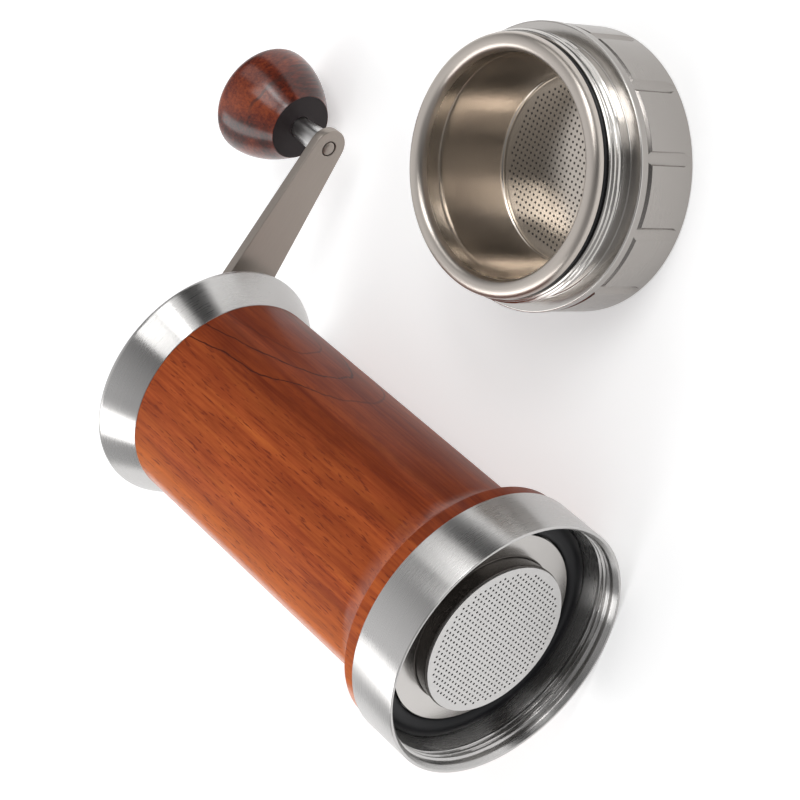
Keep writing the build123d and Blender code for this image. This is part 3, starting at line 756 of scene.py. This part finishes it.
def make_knob_spindle():
    """Peened end in the arm, polished taper and pin."""
    root = (spindle_high.z - spindle_low.z) / 2
    proud = arm_high.x + 0.1
    outline = arc((proud + 0.2, 0), (proud + 0.2, RIVET_RADIUS * 0.7), (proud - 0.25, RIVET_RADIUS), 8) + [
        (arm_low.x, RIVET_RADIUS), (arm_low.x, root, 0.3),
        (bush_high.x + 0.3, SPINDLE_RADIUS, 0.3), (spindle_low.x, SPINDLE_RADIUS, 0.3), (spindle_low.x, 0),
    ]
    data = smooth(turned_mesh("knob_spindle_form", rounded(outline), SPINDLE_SIDES))
    made = piece("knob_spindle_form", data, ON_TIP, POLISHED, "crank", "knob_spindle")
    data.materials.append(ARM_STEEL)
    for polygon in data.polygons:
        polygon.material_index = int(polygon.center.z > arm_low.x * MM)
    return made


def make_knob():
    """Turned knob whose flank swells to a widest zone near its flat-domed end."""
    radius = (knob_high.z - knob_low.z) / 2
    length = knob_high.x - knob_low.x
    neck = (bush_high.z - bush_low.z) / 2
    dome = length * KNOB_DOME_SHARE
    x_wide = knob_low.x + dome
    x_cavity = knob_low.x + length * KNOB_CAVITY_SHARE
    x_edge = bush_high.x - 0.1
    outline = [(x_cavity, 0), (x_cavity, KNOB_BORE_RADIUS), (knob_high.x, KNOB_BORE_RADIUS)]
    outline += [(knob_high.x, neck), (x_edge, neck), (x_edge, neck + 0.1)]
    for i in range(1, CURVE_STEPS):
        t = i / CURVE_STEPS
        swell = 1 - (1 - t) ** KNOB_FLANK_POWER
        outline.append((x_edge + (x_wide - x_edge) * t, neck + (radius - neck) * swell))
    for i in range(CURVE_STEPS + 1):
        a = pi / 2 * i / CURVE_STEPS
        outline.append((x_wide - dome * sin(a), radius * max(0.0, cos(a)) ** KNOB_DOME_POWER))
    data = smooth(turned_mesh("knob_form", rounded(outline), KNOB_SIDES), SOFT_CREASE)
    return piece("knob_form", data, ON_TIP, KNOB_WOOD, "knob", "knob")


def make_knob_bush():
    """Black bush whose flange is the flat end of the knob's neck."""
    flange = (bush_high.z - bush_low.z) / 2
    bore = SPINDLE_RADIUS + 0.1
    outline = [
        (bush_low.x, bore), (bush_low.x, KNOB_BORE_RADIUS - 0.05), (knob_high.x, KNOB_BORE_RADIUS - 0.05),
        (knob_high.x, flange - 0.05), (bush_high.x, flange - 0.05, 0.15), (bush_high.x, bore, 0.2),
    ]
    data = smooth(turned_mesh("knob_bush_form", rounded(outline), BUSH_SIDES))
    return piece("knob_bush_form", data, ON_TIP, BLACK_PLASTIC, "knob", "knob_bush")


def make_portafilter_collar():
    """Fluted grip below, flange, relief and thread above."""
    outer = ring_radius
    groove = outer - GRIP_GROOVE
    grip_outline = [
        (0, COLLAR_LIP, 0.3), (0, outer - FOOT_CHAMFER, 0.2), (FOOT_CHAMFER, outer, 0.2),
        (GRIP_HEIGHT - GRIP_CHAMFER, outer, 0.1), (GRIP_HEIGHT, outer - GRIP_CHAMFER, 0.1),
        (GRIP_HEIGHT, groove), (FLANGE_HEIGHT, groove), (FLANGE_HEIGHT, COLLAR_BORE),
        (COLLAR_FLOOR, COLLAR_BORE), (COLLAR_FLOOR, COLLAR_LIP, 0.3),
    ]
    fluted = cut_away(turned_mesh("grip", rounded(grip_outline)), flute_mesh(outer))
    flange = (collar_high.x - collar_low.x) / 2
    thread_radius = ring_radius - RING_WALL - COLLAR_THREAD_GAP
    relief = thread_radius - RELIEF_DEPTH
    neck = rounded([
        (COLLAR_HEIGHT, COLLAR_BORE), (FLANGE_HEIGHT, COLLAR_BORE), (FLANGE_HEIGHT, flange, 0.25),
        (RELIEF_HEIGHT, flange, 0.35), (RELIEF_HEIGHT, relief, 0.3), (COLLAR_THREAD_HEIGHTS[0] - 0.2, relief),
    ])
    neck += thread_rows(*COLLAR_THREAD_HEIGHTS, thread_radius, COLLAR_THREAD_DEPTH)
    neck += [(COLLAR_HEIGHT, thread_radius - 0.3, 0.0)]
    data = joined("portafilter_collar_form", [(fluted, Matrix()), (turned_mesh("neck", neck), Matrix())])
    smooth(data, FLAT_CREASE)
    made = piece("portafilter_collar_form", data, ON_TABLE, COLLAR_STEEL, "portafilter",
                 "portafilter_collar")
    data.materials.append(NECK_STEEL)
    for polygon in data.polygons:
        polygon.material_index = int(polygon.center.z / MM > RELIEF_HEIGHT - NECK_EDGE)
    return made


def cut_away(data, cutters):
    """Mesh with the shapes of another mesh taken out of it."""
    body = bpy.data.objects.new("body", data)
    tool = bpy.data.objects.new("tool", cutters)
    for obj in (body, tool):
        bpy.context.scene.collection.objects.link(obj)
    cut = body.modifiers.new("cut", "BOOLEAN")
    cut.operation = "DIFFERENCE"
    cut.solver = "EXACT"
    cut.object = tool
    result = bpy.data.meshes.new_from_object(body.evaluated_get(bpy.context.evaluated_depsgraph_get()))
    bpy.data.objects.remove(body)
    bpy.data.objects.remove(tool)
    return result


def flute_mesh(outer):
    """Cutting shapes for the grip's straight flutes, which run out above the foot."""
    radius = (FLUTE_WIDTH ** 2 / 4 + FLUTE_DEPTH ** 2) / (2 * FLUTE_DEPTH)
    away = Matrix.Translation(((outer - FLUTE_DEPTH + radius) * MM, 0, 0))
    low, high = FLUTE_FOOT, (GRIP_HEIGHT + FLANGE_HEIGHT) / 2
    rows = [
        (low, 0, 0), (low, radius - FLUTE_DEPTH, 0), (low + FLUTE_RUNOUT, radius, 0),
        (high, radius, 0), (high, 0, 0),
    ]
    one = turned_mesh("flute", rows, FLUTE_SIDES)
    turns = [Matrix.Rotation(2 * pi * i / FLUTE_COUNT, 4, "Z") for i in range(FLUTE_COUNT)]
    return joined("flutes", [(one, turn @ away) for turn in turns])


def make_filter_basket():
    """Spun cup with a rolled rim, a bead in its wall and a perforated floor."""
    base = basket_low.z - floor_height
    rim_top = basket_high.z - floor_height
    rim_low = seal_high.z - floor_height
    outer_rim = (basket_high.x - basket_low.x) / 2
    inside = BASKET_RADIUS
    foot = BASKET_FOOT
    floor_top = base + BASKET_WALL
    mid = (inside + outer_rim) / 2
    bead = rim_low - BEAD_DROP
    outside = inside + BASKET_WALL
    outline = [(base, foot - 0.6), (base, foot, 0.8), (bead - 1.0, outside, 1.0), (rim_low, outside)]
    outline += [(rim_low, outer_rim - 0.4, 0.3)]
    outline += arc((rim_low + 0.5, outer_rim), (rim_top, outer_rim), (rim_top, mid), 10)
    outline += arc((rim_top - 0.01, mid - 0.1), (rim_top, inside + 0.1), (rim_low + 0.3, inside), 10)
    outline += [(bead + BEAD_HEIGHT, inside, 0.2), (bead + BEAD_HEIGHT / 2, inside - BEAD_DEPTH, 0.2)]
    outline += [(bead, inside, 0.2), (bead - 1.0, inside, 1.0)]
    outline += [(floor_top + 0.9, foot - 0.1, 0.6), (floor_top + 0.5, foot - 0.6, 0.3), (floor_top, foot - 0.6)]
    cup = turned_mesh("cup", rounded(outline))
    loops = [circle(foot - 0.5, SEGMENTS)]
    loops += hole_field(
        foot - BASKET_HOLE_BORDER, BASKET_HOLE_PITCH, BASKET_HOLE_PITCH, 0.0, BASKET_HOLE_RADIUS)
    floor_plate = flat_plate("floor_plate", loops, BASKET_WALL)
    lift = Matrix.Translation((0, 0, (base + BASKET_WALL / 2) * MM))
    data = smooth(joined("filter_basket_form", [(cup, Matrix()), (floor_plate, lift)]))
    made = piece("filter_basket_form", data, ON_TABLE, BASKET_STEEL, "basket", "filter_basket")
    data.materials.append(RIM_STEEL)
    data.materials.append(PAINTED_SHADE_STEEL)
    # Rim faces take the rougher steel; the walls of the floor's holes take the steel with painted shade
    for polygon in data.polygons:
        height = polygon.center.z / MM
        if height > rim_low:
            polygon.material_index = 1
        elif abs(polygon.normal.z) < 0.5 and hypot(polygon.center.x, polygon.center.y) / MM < foot - 1.6:
            polygon.material_index = 2
    return made


def make_collar_seal():
    """Black ring below the basket's rim."""
    low = seal_low.z - floor_height
    high = seal_high.z - floor_height
    outer = (seal_high.x - seal_low.x) / 2
    outline = [(low, COLLAR_BORE), (low, outer, 0.3), (high, outer, 0.3), (high, COLLAR_BORE)]
    data = smooth(turned_mesh("collar_seal_form", rounded(outline)))
    return piece("collar_seal_form", data, ON_TABLE, RUBBER, "portafilter", "collar_seal")


make_wood_barrel()
make_base_ring()
make_group_head()
make_shower_screen()
make_group_gasket()
make_top_cap()
make_crank_arm()
make_knob_spindle()
make_knob()
make_knob_bush()
make_portafilter_collar()
make_filter_basket()
make_collar_seal()

# CAD pieces that keep their own shape
CARRIED = {
    "cylinder": FINE_STEEL, "head_seal": RUBBER, "shaft_bush": BRONZE, "thrust_washer_rear": POLISHED,
    "thrust_washer_front": POLISHED, "thrust_balls": POLISHED, "ball_cage": BRONZE, "lead_screw": POLISHED,
    "hub_spacer": FINE_STEEL, "crank_washer": POLISHED, "crank_nut": POLISHED, "knob_snap_ring": POLISHED,
    "plunger": ACETAL, "plunger_seals": RUBBER, "drive_nut": BRONZE,
    "nut_screws": POLISHED, "guide_keys": POLISHED, "basket_spring": POLISHED,
}
for node_name, material in CARRIED.items():
    cad_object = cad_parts[node_name]
    cad_object.data.materials.clear()
    cad_object.data.materials.append(material)


def make_floor():
    """Pale floor that the camera and the metal see as white, with the object's shadow on it."""
    g = Graph("pale_floor", Roughness=0.7, Specular_IOR_Level=0.1, Emission_Color=(1, 1, 1, 1))
    clouds = g.noise(g.place(), 6.0, 2.0)
    g.feed(g.shader.inputs["Base Color"], g.mix(clouds, (0.8, 0.8, 0.8, 1), (0.82, 0.82, 0.82, 1)))
    path = g.add("ShaderNodeLightPath")
    seen = g.maths("MAXIMUM", path.outputs["Is Camera Ray"], path.outputs["Is Glossy Ray"])
    seen = g.maths("MAXIMUM", seen, path.outputs["Is Transmission Ray"])
    g.feed(g.shader.inputs["Emission Strength"], g.maths("MULTIPLY", seen, FLOOR_GLOW))
    mesh = bmesh.new()
    bmesh.ops.create_grid(mesh, x_segments=2, y_segments=2, size=FLOOR_HALF)
    data = bpy.data.meshes.new("floor")
    mesh.to_mesh(data)
    mesh.free()
    data.materials.append(g.material)
    floor = bpy.data.objects.new("floor", data)
    floor.location = (0, 0, floor_height * MM)
    bpy.context.scene.collection.objects.link(floor)


def make_world():
    """Soft studio surroundings: bright overhead and on the left, dark on the right and in front."""
    world = bpy.data.worlds.new("studio")
    bpy.context.scene.world = world
    world.use_nodes = True
    tree = world.node_tree
    background = tree.nodes["Background"]
    coords = tree.nodes.new("ShaderNodeTexCoord")
    split = tree.nodes.new("ShaderNodeSeparateXYZ")
    ramp = tree.nodes.new("ShaderNodeValToRGB")
    side = tree.nodes.new("ShaderNodeMapRange")
    side.inputs["From Min"].default_value = -1.0
    side.inputs["From Max"].default_value = 1.0
    tree.links.new(coords.outputs["Generated"], split.inputs[0])
    tree.links.new(split.outputs["Y"], side.inputs[0])
    tree.links.new(side.outputs[0], ramp.inputs[0])
    tree.links.new(ramp.outputs[0], background.inputs["Color"])
    elements = ramp.color_ramp.elements
    while len(elements) < len(WORLD_LEVELS):
        elements.new(0.5)
    for element, (position, level) in zip(elements, WORLD_LEVELS):
        element.position = position
        element.color = (level, level, level * WORLD_BLUE, 1)
    front = tree.nodes.new("ShaderNodeMapRange")
    front.inputs["From Min"].default_value, front.inputs["From Max"].default_value = FRONT_RANGE
    front.inputs["To Min"].default_value = 1.0
    front.inputs["To Max"].default_value = FRONT_SHARE
    tree.links.new(split.outputs["X"], front.inputs[0])
    tree.links.new(front.outputs[0], background.inputs["Strength"])


def make_lamp(name, place, target, size, power):
    """Rectangular soft lamp aimed at a point, in metres and watts."""
    data = bpy.data.lights.new(name, "AREA")
    data.shape = "RECTANGLE"
    data.size, data.size_y = size
    data.energy = power
    lamp = bpy.data.objects.new(name, data)
    lamp.location = place
    lamp.rotation_mode = "QUATERNION"
    lamp.rotation_quaternion = (Vector(target) - Vector(place)).to_track_quat("-Z", "Y")
    bpy.context.scene.collection.objects.link(lamp)


def make_camera():
    """Camera at the photograph's viewing angle."""
    data = bpy.data.cameras.new("camera")
    data.sensor_fit = "HORIZONTAL"
    data.sensor_width = SENSOR_WIDTH
    data.lens = data.sensor_width * CAMERA_FOCAL_PIXELS / PICTURE_PIXELS
    data.clip_start = CLIP_START
    right = Vector(CAMERA_RIGHT).normalized()
    up = Vector(CAMERA_UP)
    up = (up - right * right.dot(up)).normalized()
    back = right.cross(up)
    turn = Matrix((right, up, back)).transposed().to_4x4()
    camera = bpy.data.objects.new("camera", data)
    camera.matrix_world = Matrix.Translation(Vector(CAMERA_PLACE) * MM) @ turn
    bpy.context.scene.collection.objects.link(camera)
    bpy.context.scene.camera = camera


make_floor()
make_world()
make_camera()

# Lamps: place, target, size, power
make_lamp("left_softbox", (-0.15, -0.69, 0.53), (-0.06, 0.0, 0), (1.2, 0.35), 3.9)
make_lamp("right_softbox", (-0.1, 0.7, 0.5), (-0.06, 0.0, 0), (1.3, 0.4), 1.9)
make_lamp("small_softbox", (0.02, 0.66, 0.5), (-0.15, 0.06, -0.02), (0.28, 0.14), 0.95)
make_lamp("top_softbox", (0.02, 0.5, 0.75), (-0.06, 0.09, 0), (0.4, 0.3), 1.3)

bpy.context.scene.view_settings.view_transform = "Standard"
